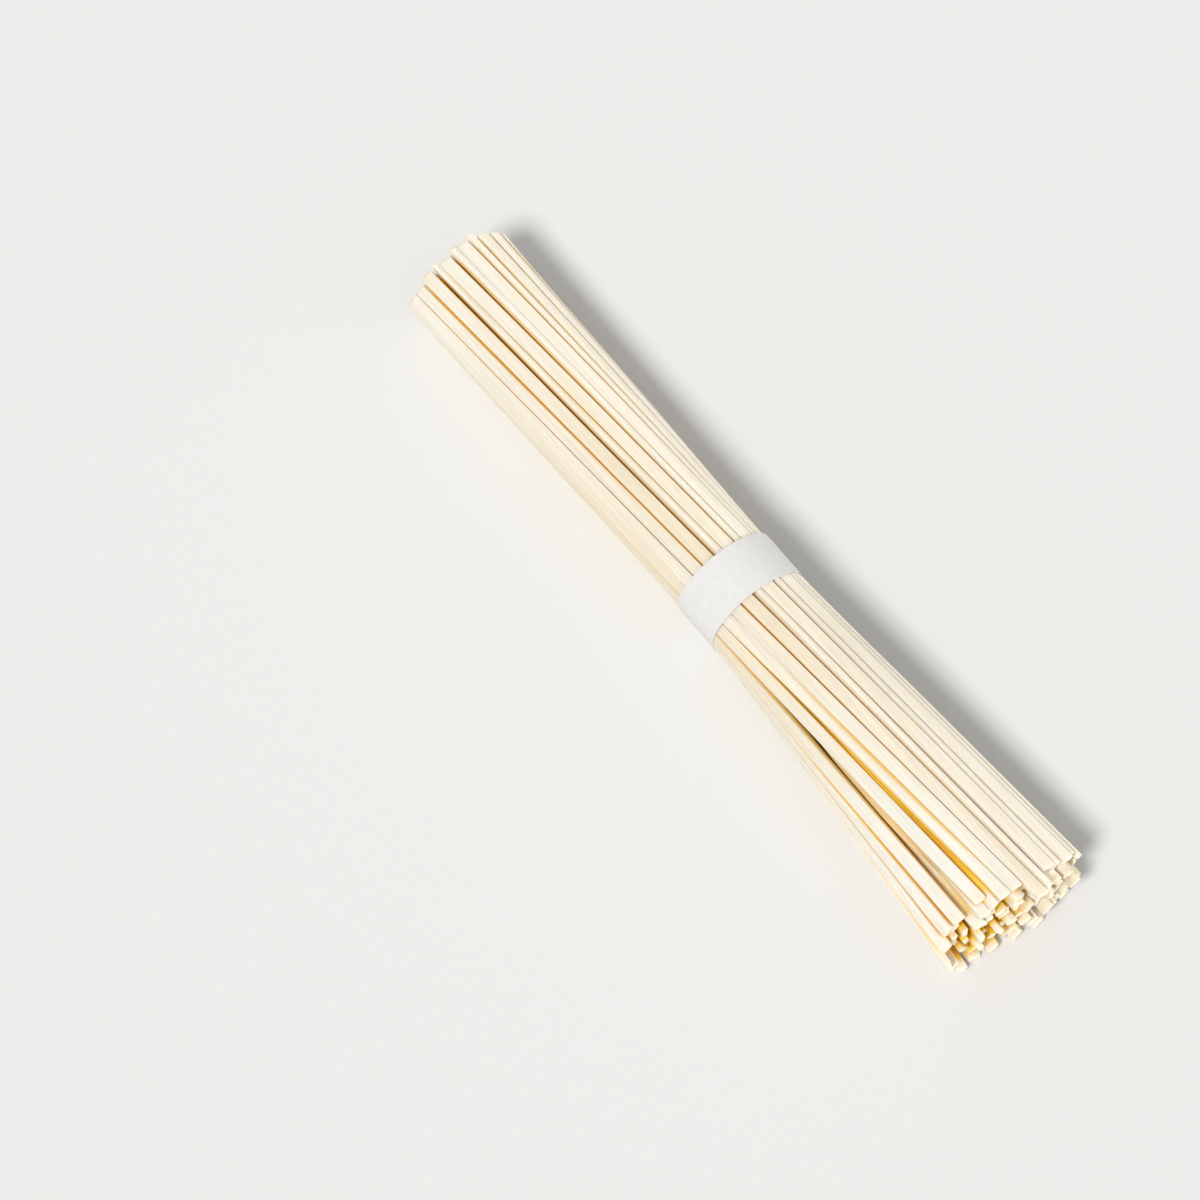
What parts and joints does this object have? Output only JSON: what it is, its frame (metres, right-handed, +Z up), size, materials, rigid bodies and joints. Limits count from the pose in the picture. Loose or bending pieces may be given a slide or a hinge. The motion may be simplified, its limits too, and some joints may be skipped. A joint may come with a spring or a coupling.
{
  "type": "dried udon noodle bundle",
  "caption": "Bundle of dried flat udon noodles lying on its side, gathered near the middle by a plain white paper band, with one end a little spread.",
  "frame": {"origin": "on the floor under the middle of the noodles' outline", "axes": "+X along the bundle towards its loose, spread end, +Y across it to its right side, +Z up"},
  "size_m": [0.2064, 0.0394, 0.0248],
  "materials": {
    "noodle": "dry and matt, cream coloured, slightly see-through",
    "paper": "thin white paper, matt"
  },
  "bodies": {
    "root": {"noodles": "noodle", "paper_band": "paper"}
  },
  "joints": []
}
